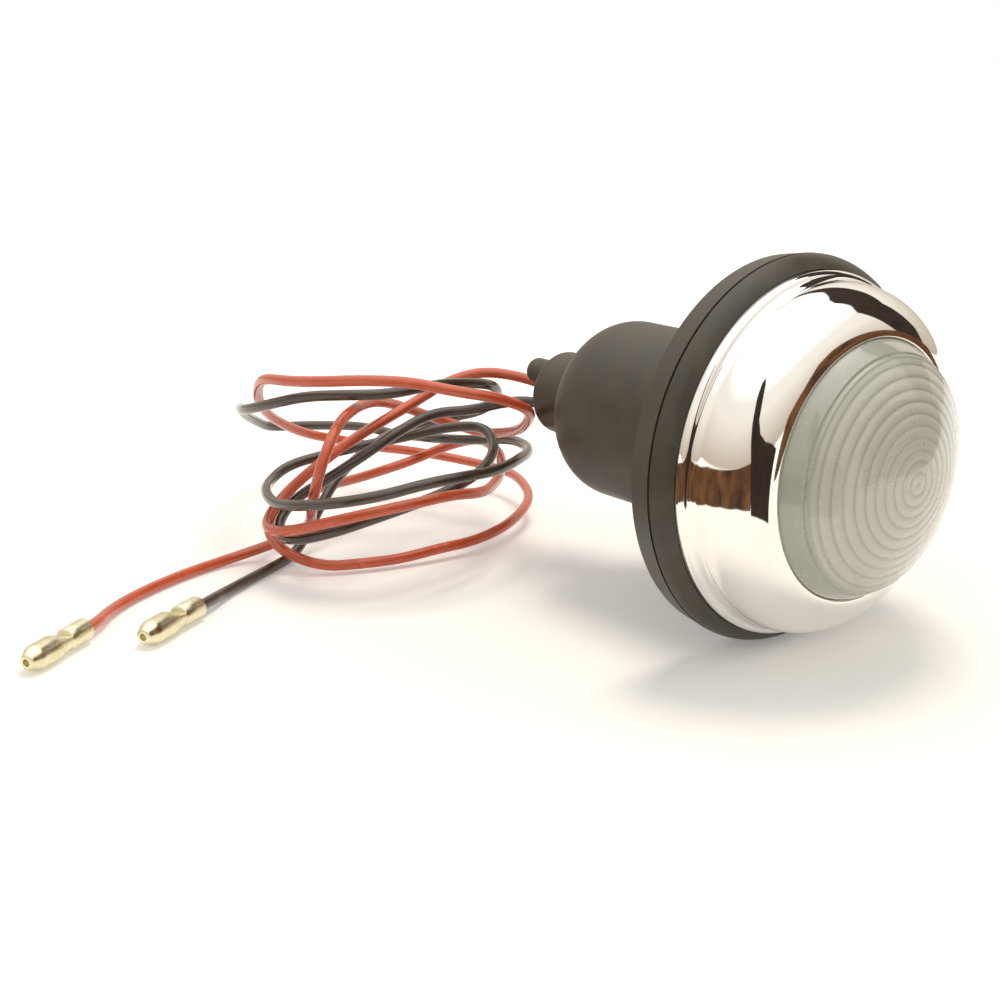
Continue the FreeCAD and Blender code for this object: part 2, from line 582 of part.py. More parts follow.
BLACK_POINTS = [
    (-62, -3, -3), (-68, -3, -3), (-74, -6, -4), (-79, -12, -6), (-83, -20, -6), (-83, -30, -9), (-84, -38, -13),
    (-88, -45, -18), (-93, -52, -23), (-89, -59, -27), (-81, -61, -28), (-72, -56, -25), (-65, -47, -21),
    (-65, -37, -20), (-66, -27, -19), (-68, -17, -17), (-73, -9, -14), (-81, -6, -11), (-89, -11, -12),
    (-94, -19, -14), (-100, -27, -16), (-105, -35, -18), (-106, -45, -19), (-102, -53, -21), (-93, -59, -20),
    (-84, -62, -20), (-74, -62, -18), (-65, -58, -16), (-58, -52, -14), (-54, -43, -12), (-53, -33, -12),
    (-55, -23, -13), (-59, -14, -13), (-65, -6, -14), (-73, 0, -15), (-83, 3, -16), (-92, 2, -18), (-101, -2, -19),
    (-111, -4, -20), (-121, -5, -21), (-131, -6, -21), (-140, -9, -22), (-146, -16, -22), (-146, -26, -21),
    (-141, -33, -17), (-134, -40, -13), (-127, -45, -9), (-118, -50, -7), (-109, -54, -5), (-99, -54, -2),
    (-90, -50, 1), (-82, -45, 2), (-76, -37, 2), (-74, -27, 3), (-75, -17, 2), (-76, -7, 0), (-82, -1, -5),
    (-90, 1, -10), (-99, -2, -13), (-106, -8, -15), (-106, -18, -17), (-104, -27, -20), (-100, -36, -23),
    (-97, -44, -30), (-94, -51, -36.5), (-90, -60, -36.7), (-86, -69, -36.7), (-82, -77, -36.5), (-78, -82, -35.6),
    (-74, -90, -35.6),
]
RED_INNER_POINTS = [(-62, 4, -1), (-52, 4, -1), (-42, 3, 0), (-32, 1, 0), (-24, 0, 0), (-19, 0, 0)]
BLACK_INNER_POINTS = [
    (-62, -3, -3), (-53, -3, -3), (-44, -2, -4), (-34, -1, -8), (-22, 0, -12), (-13, 0, -13), (-7, 0, -13),
]


# Straight runs joined by arcs that touch both: the arc's radius is 0.45 of the shorter run over the tangent of
# half the turn.
def wire_path(points):
    spots = [Vector(*p) for p in points]
    edges = []
    radii = []
    here = spots[0]
    for before, corner, after in zip(spots, spots[1:], spots[2:]):
        way_in = (corner - before).normalize()
        way_out = (after - corner).normalize()
        turn = way_in.getAngle(way_out)
        if turn < math.radians(0.5):
            continue
        cut = 0.45 * min((corner - before).Length, (after - corner).Length)
        first = corner - way_in * cut
        last = corner + way_out * cut
        radius = cut / math.tan(turn / 2)
        bisect = (way_out - way_in).normalize()
        middle = corner + bisect * (math.hypot(radius, cut) - radius)
        edges.append(Part.LineSegment(here, first).toShape())
        edges.append(Part.Arc(first, middle, last).toShape())
        radii.append(radius)
        here = last
    edges.append(Part.LineSegment(here, spots[-1]).toShape())
    return Part.Wire(edges), radii


def wire_tube(label, points):
    path, radii = wire_path(points)
    start = Vector(*points[0])
    way = Vector(*points[1]) - start
    section = Part.Wire(Part.makeCircle(SIZES["wire_rad"], start, way))
    shape = path.makePipeShell([section], True, False)
    expected = math.pi * SIZES["wire_rad"] ** 2 * path.Length
    print(f"{label}: length {path.Length:.0f}, smallest radius {min(radii):.1f}, volume {shape.Volume / expected:.4f}")
    tube_part = doc.addObject("Part::Feature", label)
    tube_part.Label = label
    tube_part.Shape = shape
    return tube_part


wires = [
    wire_tube("red_wire", RED_POINTS),
    wire_tube("black_wire", BLACK_POINTS),
    wire_tube("red_wire_inner", RED_INNER_POINTS),
    wire_tube("black_wire_inner", BLACK_INNER_POINTS),
]
bullets = []
for label, points in (("red_bullet", RED_POINTS), ("black_bullet", BLACK_POINTS)):
    terminal = bullet(label)
    end = Vector(*points[-1])
    way = (end - Vector(*points[-2])).normalize()
    terminal.Placement = FreeCAD.Placement(end - way * SIZES["wire_in_bullet"], Rotation(Vector(1, 0, 0), way))
    bullets.append(terminal)

doc.recompute()

# Check and write
nodes = [rubber, rim, lens, plate, holder, carrier, tip, spring, washer, tag, rivet, cap, blob, globe, filament]
nodes += wires + bullets
for thing in doc.Objects:
    if "Invalid" in thing.State or "Error" in thing.State:
        raise RuntimeError(f"{thing.Name} is {thing.State}")
os.makedirs("parts", exist_ok=True)
for node in nodes:
    shape = node.Shape
    if shape.isNull() or not shape.isValid() or shape.Volume <= 0 or len(shape.Solids) != 1:
        raise RuntimeError(f"{node.Label}: not one valid solid ({len(shape.Solids)})")
    shape.exportStep(f"parts/{node.Label}.step")
    box = shape.BoundBox
    print(f"{node.Label}: volume {shape.Volume:.1f}, x {box.XMin:.2f}..{box.XMax:.2f}, "
          f"y {box.YMin:.2f}..{box.YMax:.2f}, z {box.ZMin:.2f}..{box.ZMax:.2f}")
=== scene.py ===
# %% [markdown]
# # A rubber-bodied side light
# This is a small round lamp for the wing of a car. A rubber boot goes through a hole in the panel,
# its two lips hold a bright rim and a ringed glass, and two wires with bullet terminals leave its
# tail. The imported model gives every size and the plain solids. This lesson adds what a solid can't
# show: the finish of each surface, the fine outlines of the turned pieces and the loose wires.
# Places in the code are metres, and outlines and routes are written in millimetres.

# %% The frame
import math

import bmesh
import bpy
from mathutils import Matrix, Vector


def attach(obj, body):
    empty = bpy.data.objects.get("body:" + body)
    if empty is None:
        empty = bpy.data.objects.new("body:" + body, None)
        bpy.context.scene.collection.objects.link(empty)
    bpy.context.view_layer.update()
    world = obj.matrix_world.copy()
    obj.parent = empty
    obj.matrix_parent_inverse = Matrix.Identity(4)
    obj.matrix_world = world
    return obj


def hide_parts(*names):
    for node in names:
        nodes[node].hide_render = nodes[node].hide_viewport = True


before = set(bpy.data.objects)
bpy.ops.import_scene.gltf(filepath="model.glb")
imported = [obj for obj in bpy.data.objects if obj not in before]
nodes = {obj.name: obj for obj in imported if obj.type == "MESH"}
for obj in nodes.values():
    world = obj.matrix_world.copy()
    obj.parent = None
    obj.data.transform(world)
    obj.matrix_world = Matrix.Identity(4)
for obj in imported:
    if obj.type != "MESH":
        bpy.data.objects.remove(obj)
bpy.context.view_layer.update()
scene = bpy.context.scene
MM = 0.001
print("solids in the frame:", len(nodes))

# %% [markdown]
# ## The camera
# A picture fixes where its viewer stood. A camera could be turned by three angles, but here its
# place and two directions are written down, one across the picture and one into it, because those
# can be worked out from the outlines of round things. The third direction is their cross product,
# and the three together are the camera's turn. A fairly long lens keeps the rim from swelling.

# %% Camera
LENS_MM = 54.0
SENSOR_MM = 36.0
CAMERA_PLACE = (0.1859, -0.22092, 0.07614)
ACROSS_PICTURE = (0.6352, 0.7724, 0.0)
INTO_PICTURE = (-0.7382, 0.6071, -0.2940)

camera_data = bpy.data.cameras.new("camera")
camera_data.lens = LENS_MM
camera_data.sensor_width = SENSOR_MM
camera_data.clip_start = 0.01
camera_data.clip_end = 50.0
camera = bpy.data.objects.new("camera", camera_data)
scene.collection.objects.link(camera)
right = Vector(ACROSS_PICTURE).normalized()
forward = Vector(INTO_PICTURE).normalized()
up = right.cross(forward).normalized()
turn = Matrix((right, up, -forward)).transposed()
camera.matrix_world = Matrix.Translation(CAMERA_PLACE) @ turn.to_4x4()
scene.camera = camera
print("the camera looks down by", round(math.degrees(math.asin(-forward.z)), 1), "degrees")

# %% [markdown]
# ## The routes of the wires
# The red feed wire and the black earth wire leave the boot side by side and lie in a loose hank of
# a few turns. A simulation would drop them in a heap of its own choice, so each wire follows
# given points, about 10 mm apart, from its outlet to its terminal. The terminals take their
# places from the last two points, so the routes come first.

# %% Route of the red wire
RED_LENGTH = 0.764
RED_ROUTE = [
    (-62, 4, -1), (-69, 4, -1), (-76, 0, 1), (-82, -6, 2), (-86, -13, 0), (-87, -22, -4),
    (-87, -31, -7), (-86, -41, -10), (-88, -49, -15), (-92, -53, -20), (-92, -58, -24),
    (-87, -63, -26), (-79, -63, -25), (-71, -58, -22), (-63, -51, -19), (-60, -42, -18),
    (-60, -32, -18), (-62, -22, -20), (-68, -14, -21), (-74, -7, -21), (-82, 0, -20),
    (-91, 5, -20), (-100, 7, -20), (-108, 3, -23), (-111, -5, -26), (-111, -15, -27),
    (-109, -25, -27), (-106, -34, -26), (-104, -43, -26), (-101, -51, -28), (-97, -57, -30),
    (-89, -58, -33), (-82, -52, -36), (-78, -44, -36), (-75, -35, -36), (-73, -26, -35),
    (-72, -17, -35), (-73, -7, -34), (-77, 2, -33), (-83, 10, -32), (-92, 15, -31),
    (-101, 18, -31), (-111, 17, -31), (-120, 12, -30), (-125, 4, -28), (-127, -5, -26),
    (-129, -14, -23), (-130, -24, -20), (-127, -32, -16), (-122, -40, -11), (-116, -46, -6),
    (-108, -51, 0), (-100, -54, 4), (-90, -54, 5), (-81, -51, 6), (-73, -46, 7), (-65, -39, 7),
    (-59, -32, 5), (-55, -23, 3), (-55, -14, -1), (-62, -9, -6), (-70, -5, -10), (-79, -2, -13),
    (-88, -1, -15), (-95, -6, -13), (-95, -15, -9), (-92, -24, -5), (-87, -33, -2),
    (-82, -41, -1), (-77, -49, -2), (-73, -55, -6), (-73, -58, -13), (-77, -57, -20),
    (-84, -53, -26), (-92, -51, -31), (-99, -57, -35), (-101, -66, -36.7), (-99, -76, -36.7),
    (-96, -85, -36.7), (-92, -94, -36.7), (-87, -101, -36.5), (-81, -106, -35.6),
    (-77, -113, -35.6),
]


def along(route):
    """The distance from point to point of a route, in metres."""
    return sum(math.dist(a, b) for a, b in zip(route, route[1:])) * MM


print("red route:", len(RED_ROUTE), "points over", round(along(RED_ROUTE), 3), "m")

# %% Route of the black wire
BLACK_LENGTH = 0.662
BLACK_ROUTE = [
    (-62, -3, -3), (-68, -3, -3), (-74, -6, -4), (-79, -12, -6), (-83, -20, -6), (-83, -30, -9),
    (-84, -38, -13), (-88, -45, -18), (-93, -52, -23), (-89, -59, -27), (-81, -61, -28),
    (-72, -56, -25), (-65, -47, -21), (-65, -37, -20), (-66, -27, -19), (-68, -17, -17),
    (-73, -9, -14), (-81, -6, -11), (-89, -11, -12), (-94, -19, -14), (-100, -27, -16),
    (-105, -35, -18), (-106, -45, -19), (-102, -53, -21), (-93, -59, -20), (-84, -62, -20),
    (-74, -62, -18), (-65, -58, -16), (-58, -52, -14), (-54, -43, -12), (-53, -33, -12),
    (-55, -23, -13), (-59, -14, -13), (-65, -6, -14), (-73, 0, -15), (-83, 3, -16), (-92, 2, -18),
    (-101, -2, -19), (-111, -4, -20), (-121, -5, -21), (-131, -6, -21), (-140, -9, -22),
    (-146, -16, -22), (-146, -26, -21), (-141, -33, -17), (-134, -40, -13), (-127, -45, -9),
    (-118, -50, -7), (-109, -54, -5), (-99, -54, -2), (-90, -50, 1), (-82, -45, 2), (-76, -37, 2),
    (-74, -27, 3), (-75, -17, 2), (-76, -7, 0), (-82, -1, -5), (-90, 1, -10), (-99, -2, -13),
    (-106, -8, -15), (-106, -18, -17), (-104, -27, -20), (-100, -36, -23), (-97, -44, -30),
    (-94, -51, -36.5), (-90, -60, -36.7), (-86, -69, -36.7), (-82, -77, -36.5), (-78, -82, -35.6),
    (-74, -90, -35.6),
]
print("black route:", len(BLACK_ROUTE), "points over", round(along(BLACK_ROUTE), 3), "m")

# %% [markdown]
# ## Turning on an axis
# The rim, the glass and the terminals are round about one axis, as if made on a lathe. Cylinders
# and bevels could be stacked into such shapes, but one outline spun about the axis gives clean
# rings of faces and true arcs. An outline is a row of corners, each a place along the axis and a
# radius. An arc between two corners takes a little geometry, so it has a function of its own.

# %% Arcs for the outlines
LEFT = 1
RIGHT = -1


def arc(start, end, radius, side, count):
    """Points from start to end along an arc, without the start. The side is the centre's."""
    ax, ay = start
    bx, by = end
    half = math.hypot(bx - ax, by - ay) / 2
    across = (-(by - ay) / (2 * half) * side, (bx - ax) / (2 * half) * side)
    reach = math.sqrt(radius * radius - half * half)
    cx = (ax + bx) / 2 + across[0] * reach
    cy = (ay + by) / 2 + across[1] * reach
    first = math.atan2(ay - cy, ax - cx)
    sweep = side * 2 * math.asin(half / radius)
    points = []
    for i in range(1, count + 1):
        angle = first + sweep * i / count
        points.append((cx + radius * math.cos(angle), cy + radius * math.sin(angle)))
    return points


print("the middle of a quarter circle:", arc((1, 0), (0, 1), 1.0, LEFT, 2)[0])

# %% Spinning an outline
# So many steps keep the mirrored lines in the rim free of corners.
STEPS = 256
MERGE_DISTANCE = 1e-7


def turned(name, outline, closed, sharp, node_name):
    """A piece spun about the X axis. Edges that turn by more than the angle sharp stay crisp."""
    bm = bmesh.new()
    ring = [bm.verts.new((x * MM, 0.0, r * MM)) for x, r in outline]
    after = ring[1:] + (ring[:1] if closed else [])
    edges = [bm.edges.new(pair) for pair in zip(ring, after)]
    bmesh.ops.spin(bm, geom=ring + edges, cent=(0, 0, 0), axis=(1, 0, 0), angle=2 * math.pi,
                   steps=STEPS, use_merge=True)
    bmesh.ops.remove_doubles(bm, verts=bm.verts, dist=MERGE_DISTANCE)
    bmesh.ops.recalc_face_normals(bm, faces=bm.faces)
    for face in bm.faces:
        face.smooth = True
    for edge in bm.edges:
        if len(edge.link_faces) == 2 and edge.calc_face_angle() > sharp:
            edge.smooth = False
    mesh = bpy.data.meshes.new(name)
    bm.to_mesh(mesh)
    bm.free()
    piece = bpy.data.objects.new(name, mesh)
    scene.collection.objects.link(piece)
    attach(piece, "root")
    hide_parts(node_name)
    print(name, "has", len(mesh.polygons), "faces")
    return piece


print("one step of a turn is", round(360 / STEPS, 2), "degrees")

# %% [markdown]
# ## The bright rim
# The rim is one thin pressing with a flat edge that tucks under the boot's outer lip and a full
# round nose that turns in against the glass. A ring could be swelled with modifiers, but a mirror
# finish shows every unevenness of the mesh, so the outline is drawn as true arcs: a shoulder, a
# hollow, the long round of the nose and a thin turned edge. It runs back along the inside of the
# sheet, so the rim has its real thickness.

# %% Bright rim
RIM_SHARP = math.radians(38)
SHOULDER = (9.6, 35.3)
HOLLOW = (10.9, 34.3)
NOSE_FOOT = (12.5, 33.6)
NOSE_EDGE = (23.9, 25.1)
EDGE_INSIDE = (23.1, 24.96)
NOSE_FOOT_INSIDE = (12.5, 32.8)

rim_outline = [(5.7, 36.4), (6.5, 36.4), (6.5, 35.3), SHOULDER]
rim_outline += arc(SHOULDER, HOLLOW, 1.2, RIGHT, 8)
rim_outline += arc(HOLLOW, NOSE_FOOT, 2.6, LEFT, 6)
rim_outline += arc(NOSE_FOOT, NOSE_EDGE, 10.4, RIGHT, 40)
rim_outline += arc(NOSE_EDGE, EDGE_INSIDE, 0.41, RIGHT, 6)
rim_outline += arc(EDGE_INSIDE, NOSE_FOOT_INSIDE, 9.6, LEFT, 40)
rim_outline += [(10.5, 33.6), (9.6, 34.5), (5.7, 34.5)]
rim = turned("bright_rim", rim_outline, True, RIM_SHARP, "chrome_rim")

# %% [markdown]
# ## The ringed glass
# The lens is pressed glass, smooth outside and ringed inside, where each ring spreads the light of
# the small bulb. The rings could be a bump in the material only, but a mesh keeps them under any
# light, so the inner face is a row of small arcs. Outside, a fine groove runs round the foot of
# the dome, and the side slopes down to a flange that sits under the boot's inner lip.

# %% Inner face of the glass
GLASS_SHARP = math.radians(14)
INNER_CENTRE_X = -4.6
INNER_ROUND = 36.5
RING_FIRST = 2.2
RING_PITCH = 2.05
RING_ROUND = 1.5
RING_COUNT = 8
BUTTON_SHARE = 0.6


def inner_x(radius):
    """Where the ball that the rings lie on stands along the axis, at a radius."""
    return INNER_CENTRE_X + math.sqrt(INNER_ROUND * INNER_ROUND - radius * radius)


glass_outline = [(31.9, 0.0), (inner_x(RING_FIRST), RING_FIRST * BUTTON_SHARE)]
glass_outline += [(inner_x(RING_FIRST), RING_FIRST)]
for k in range(RING_COUNT):
    low = RING_FIRST + RING_PITCH * k
    high = low + RING_PITCH
    glass_outline += arc((inner_x(low), low), (inner_x(high), high), RING_ROUND, RIGHT, 8)
print("the last ring ends at a radius of", round(high, 2), "mm")

# %% Side, groove and dome of the glass
SIDE_TOP = (22.4, 24.95)
GROOVE_FOOT = (27.2, 22.75)
GROOVE_TOP = (27.75, 22.3)
DOME_EDGE = (28.3, 21.85)
DOME_POLE = (34.9, 0.0)
DOME_ROUND = 39.5

glass_outline += [(25.4, 20.0), (20.8, 22.0), (5.0, 25.6), (5.0, 30.3), (8.0, 30.3), (8.0, 28.4)]
glass_outline += [SIDE_TOP]
glass_outline += arc(SIDE_TOP, GROOVE_FOOT, 12.0, RIGHT, 14)
glass_outline += [(27.35, 22.3), GROOVE_TOP]
glass_outline += arc(GROOVE_TOP, DOME_EDGE, 0.5, RIGHT, 5)
glass_outline += arc(DOME_EDGE, DOME_POLE, DOME_ROUND, RIGHT, 30)
# The pole is set exactly on the axis, so that the spin closes it.
glass_outline[-1] = DOME_POLE
lens = turned("ringed_glass", glass_outline, False, GLASS_SHARP, "lens")

# %% [markdown]
# ## The bullet terminals
# A bullet is a short brass tube with a round-nosed head that snaps into a sleeve. Its tail goes
# over the wire, and a crimping tool has pressed one side in. The tube is turned like the rim. The
# crimp could be cut with a boolean, but a tool mark is a dent, so the points under the tool are
# pushed down instead, most at the tail end and least at the head.

# %% Outline of a bullet
NECK_FROM = (6.4, 2.1)
NECK_STEP = (0.25, 0.025)
NECK_COUNT = 12
HEAD_END = (15.3, 2.62)
NOSE_FROM = (17.6, 1.75)
NOSE_TIP = (18.2, 1.1)

bullet_outline = [(5.0, 0.0), (5.0, 1.25), (0.0, 1.25), (0.0, 2.15), (0.15, 2.3), (3.0, 2.3)]
bullet_outline += [(6.1, 2.3), (6.25, 2.2), NECK_FROM]
for i in range(1, NECK_COUNT + 1):
    bullet_outline += [(NECK_FROM[0] + NECK_STEP[0] * i, NECK_FROM[1] + NECK_STEP[1] * i)]
bullet_outline += [(9.6, 2.45), (9.9, 2.58), (10.3, 2.62), (10.8, 2.62), (13.0, 2.62), HEAD_END]
bullet_outline += arc(HEAD_END, (16.9, 2.1), 3.0, RIGHT, 6)
bullet_outline += [NOSE_FROM]
bullet_outline += arc(NOSE_FROM, NOSE_TIP, 0.8, RIGHT, 5)
bullet_outline += [(18.2, 0.75), (16.6, 0.75), (16.6, 0.0)]
print("a bullet is", NOSE_TIP[0], "mm long and", 2 * HEAD_END[1], "mm across its head")

# %% Bullets at the ends of their routes
WIRE_IN_BULLET = 4.5
BULLET_LIFT = 0.27
CRIMP_FROM = 6.3
CRIMP_TO = 10.8
CRIMP_DEPTH = 1.0
CRIMP_HALF_WIDTH = math.radians(62)


def bullet(name, route, node_name):
    """A crimped bullet whose mesh is moved to the end of a route, with its object at the origin."""
    piece = turned(name, bullet_outline, False, RIM_SHARP, node_name)
    for vertex in piece.data.vertices:
        x, y, z = [c / MM for c in vertex.co]
        aside = abs(math.atan2(y, z))
        if CRIMP_FROM < x < CRIMP_TO and aside < CRIMP_HALF_WIDTH:
            share = (CRIMP_TO - x) / (CRIMP_TO - CRIMP_FROM)
            hollow = math.cos(aside / CRIMP_HALF_WIDTH * math.pi / 2)
            vertex.co.z -= MM * CRIMP_DEPTH * share * hollow
    end = Vector(route[-1])
    way = (end - Vector(route[-2])).normalized()
    start = end - way * WIRE_IN_BULLET + Vector((0.0, 0.0, BULLET_LIFT))
    across = Vector((0.0, 0.0, 1.0)).cross(way)
    turn_to = Matrix((way, across, way.cross(across))).transposed().to_4x4()
    piece.data.transform(Matrix.Translation(start * MM) @ turn_to)
    return piece


red_bullet = bullet("red_bullet_terminal", RED_ROUTE, "red_bullet")
black_bullet = bullet("black_bullet_terminal", BLACK_ROUTE, "black_bullet")

# %% [markdown]
# ## The wires
# Each wire is stranded copper in a smooth plastic sleeve, limp enough to be wound up by hand. A
# mesh tube could be pulled along the route, but a curve with a round bevel keeps one thickness
# through every bend. A NURBS curve runs smoothly near its points, so the turns have no kinks.

# %% Wires
WIRE_RADIUS = 0.0012
STEPS_PER_POINT = 10
STEPS_ROUND = 6
SMOOTH_ORDER = 3


def make_wire(name, route, length, node_name):
    """A round cord along a route."""
    curve = bpy.data.curves.new(name, "CURVE")
    curve.dimensions = "3D"
    curve.resolution_u = STEPS_PER_POINT
    # A point's radius widens the curve's own box, so it is 1 mm here and the bevel makes up for it.
    curve.bevel_depth = WIRE_RADIUS / MM
    curve.bevel_resolution = STEPS_ROUND
    curve.use_fill_caps = True
    spline = curve.splines.new("NURBS")
    spline.points.add(len(route) - 1)
    for point, place in zip(spline.points, route):
        point.co = (place[0] * MM, place[1] * MM, place[2] * MM, 1.0)
        point.radius = MM
    spline.order_u = SMOOTH_ORDER
    spline.use_endpoint_u = True
    wire = bpy.data.objects.new(name, curve)
    scene.collection.objects.link(wire)
    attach(wire, "root")
    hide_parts(node_name)
    print(name, "is", length, "m long")
    return wire


red_wire = make_wire("red_feed_wire", RED_ROUTE, RED_LENGTH, "red_wire")
black_wire = make_wire("black_earth_wire", BLACK_ROUTE, BLACK_LENGTH, "black_wire")

# %% [markdown]
# ## What the finishes share
# Colours are picked on a screen as hex values, but a renderer adds up light, so one function turns
# each value to linear. Another adds a node, sets its inputs and links the ones that are sockets.
# No surface is one flat colour, so most finishes share a pattern: patches that move the colour
# between two close shades and the roughness with it, and a fine grain as bump. Pictures could give
# these too, but noise on the object's own coordinates is sized in millimetres.

# %% Colours and nodes


def linear(hex_colour):
    """An sRGB hex colour as linear red, green, blue and alpha."""
    values = [int(hex_colour[i:i + 2], 16) / 255 for i in (1, 3, 5)]
    return [v / 12.92 if v <= 0.04045 else ((v + 0.055) / 1.055) ** 2.4 for v in values] + [1.0]


def node(tree, kind, inputs=(), **settings):
    """A new node with its settings, and its inputs set or linked."""
    new = tree.nodes.new("ShaderNode" + kind)
    for name, value in settings.items():
        setattr(new, name, value)
    for key, value in dict(inputs).items():
        if isinstance(value, bpy.types.NodeSocket):
            tree.links.new(value, new.inputs[key])
        else:
            new.inputs[key].default_value = value
    return new


def new_material(name):
    """A new material with its node tree and its main shader."""
    material = bpy.data.materials.new(name)
    material.use_nodes = True
    tree = material.node_tree
    return material, tree, tree.nodes["Principled BSDF"]


print("middle grey on the screen is", round(linear("#808080")[0], 3), "in linear light")

# %% Patches and grain
# Noise has its values crowded round the middle, so only this part of its range is used.
NOISE_LOW = 0.3
NOISE_HIGH = 0.7
NOISE_DETAIL = 3.0
MM_PER_METRE = 1000.0
GRAIN_STRENGTH = 0.6


def varied(tree, shader, dark, light, patch_mm, rough, grain_mm, grain_height_mm):
    """Colour between two shades, a roughness that follows it, and a fine bump."""
    place = node(tree, "TexCoord").outputs["Object"]
    patch = node(tree, "TexNoise", {"Vector": place, "Scale": MM_PER_METRE / patch_mm,
                                    "Detail": NOISE_DETAIL}).outputs["Fac"]
    shades = node(tree, "ValToRGB", {"Fac": patch})
    ends = shades.color_ramp.elements
    ends[0].position = NOISE_LOW
    ends[1].position = NOISE_HIGH
    ends[0].color = linear(dark)
    ends[1].color = linear(light)
    tree.links.new(shades.outputs["Color"], shader.inputs["Base Color"])
    dull = node(tree, "MapRange", {"Value": patch, "From Min": NOISE_LOW, "From Max": NOISE_HIGH,
                                   "To Min": rough[0], "To Max": rough[1]})
    tree.links.new(dull.outputs[0], shader.inputs["Roughness"])
    grain = node(tree, "TexNoise", {"Vector": place, "Scale": MM_PER_METRE / grain_mm,
                                    "Detail": NOISE_DETAIL}).outputs["Fac"]
    bump = node(tree, "Bump", {"Height": grain, "Strength": GRAIN_STRENGTH,
                               "Distance": grain_height_mm * MM})
    tree.links.new(bump.outputs["Normal"], shader.inputs["Normal"])


print("a patch of 9 mm has a noise scale of", round(MM_PER_METRE / 9, 1))

# %% [markdown]
# ## Satin rubber
# The boot is natural rubber, moulded in a steel tool and filled with soot, which leaves it a warm
# black with a dull skin. A single dark colour would look like paint. Handling has rubbed some
# places smoother than others, so wide soft patches change both shade and roughness.

# %% Satin rubber
# It gives the eye a broad, weak highlight that breaks up a little. The skin of the mould is finer
# than 0.1 mm, and its grain is drawn at 0.35 mm so that it shows.
RUBBER, rubber_tree, rubber_shader = new_material("satin_black_rubber")
varied(rubber_tree, rubber_shader, dark="#3F3A31", light="#504A3F", patch_mm=9.0,
       rough=(0.36, 0.5), grain_mm=0.35, grain_height_mm=0.012)
print("made", RUBBER.name)

# %% [markdown]
# ## Polished chrome
# The rim is plated over a polished pressing. A perfect mirror is easy to make and looks false: real
# plate has a faint haze in places and the sheet under it is never quite even. So the roughness
# stays low but moves, and a very shallow waviness, about 3 mm from crest to crest, bends the
# reflections slightly.

# %% Polished chrome
# It gives the eye the room itself, in sharp bands of light and dark.
CHROME, chrome_tree, chrome_shader = new_material("polished_chrome_plate")
varied(chrome_tree, chrome_shader, dark="#F2F0EC", light="#FAF8F4", patch_mm=14.0,
       rough=(0.03, 0.07), grain_mm=3.0, grain_height_mm=0.0006)
chrome_shader.inputs["Metallic"].default_value = 1.0
print("made", CHROME.name)

# %% [markdown]
# ## Moulded ringed glass
# The lens is thick pressed glass with a grey-green body, and the rings inside scatter what comes
# through it, so it looks milky. Clear glass in the shader would show the bulb holder plainly and
# lose the rings, so only a quarter of the light passes and the rest is scattered by a pale colour.
# Each ring's foot is painted darker and its crown lighter, a painted shade and painted highlight of
# the relief, found from the distance to the axis. A clear coat gives the hard gloss of the outer
# face.

# %% Places of the rings
# The phase runs from 0 to 1 across each ring, at the real pitch of the inner face.
LENS_GLASS, glass_tree, glass_shader = new_material("moulded_ringed_glass")
glass_place = node(glass_tree, "TexCoord").outputs["Object"]
off_axis = node(glass_tree, "VectorMath", {0: glass_place, 1: (0.0, 1.0, 1.0)},
                operation="MULTIPLY").outputs["Vector"]
radius = node(glass_tree, "VectorMath", {0: off_axis}, operation="LENGTH").outputs["Value"]
from_first = node(glass_tree, "Math", {0: radius, 1: RING_FIRST * MM},
                  operation="SUBTRACT").outputs[0]
turns = node(glass_tree, "Math", {0: from_first, 1: RING_PITCH * MM},
             operation="DIVIDE").outputs[0]
phase = node(glass_tree, "Math", {0: turns}, operation="FRACT").outputs[0]
print("rings are", RING_PITCH, "mm apart")

# %% Painted shade and highlight of the rings
# A Mix node keeps its number sockets at places 2 and 3 and its colour sockets at 6 and 7.
NUMBER_A = 2
NUMBER_B = 3
COLOUR_A = 6
COLOUR_B = 7
GLASS_STEP = 21.9 * MM
STEP_WIDTH = 0.4 * MM

# The ramp paints shade at the foot of each ring and a highlight on its crown; the glass itself is
# one colour.
rings = node(glass_tree, "ValToRGB", {"Fac": phase})
stops = rings.color_ramp.elements
stops[0].position = 0.0
stops[0].color = linear("#C6C7BA")
stops[1].position = 0.22
stops[1].color = linear("#DFE0D5")
painted_crown_highlight = stops.new(0.8)
painted_crown_highlight.color = linear("#E9E9E0")
foot = stops.new(1.0)
foot.color = linear("#CBCCBF")
outside = node(glass_tree, "MapRange", {"Value": radius, "From Min": GLASS_STEP - STEP_WIDTH,
                                        "From Max": GLASS_STEP}).outputs[0]
shade = node(glass_tree, "Mix", {"Factor": outside, COLOUR_A: rings.outputs["Color"],
                                 COLOUR_B: linear("#CACCBF")}, data_type="RGBA")
glass_tree.links.new(shade.outputs[2], glass_shader.inputs["Base Color"])
print("ring colours have", len(stops), "stops")

# %% Relief and gloss of the glass
# The relief shows each ring through the smooth outer face, as looking into thick glass does.
RING_RELIEF = 1.0 * MM
RING_STRENGTH = 0.7
HAZE_MM = 7.0
HAZE_ROUGH = (0.22, 0.32)

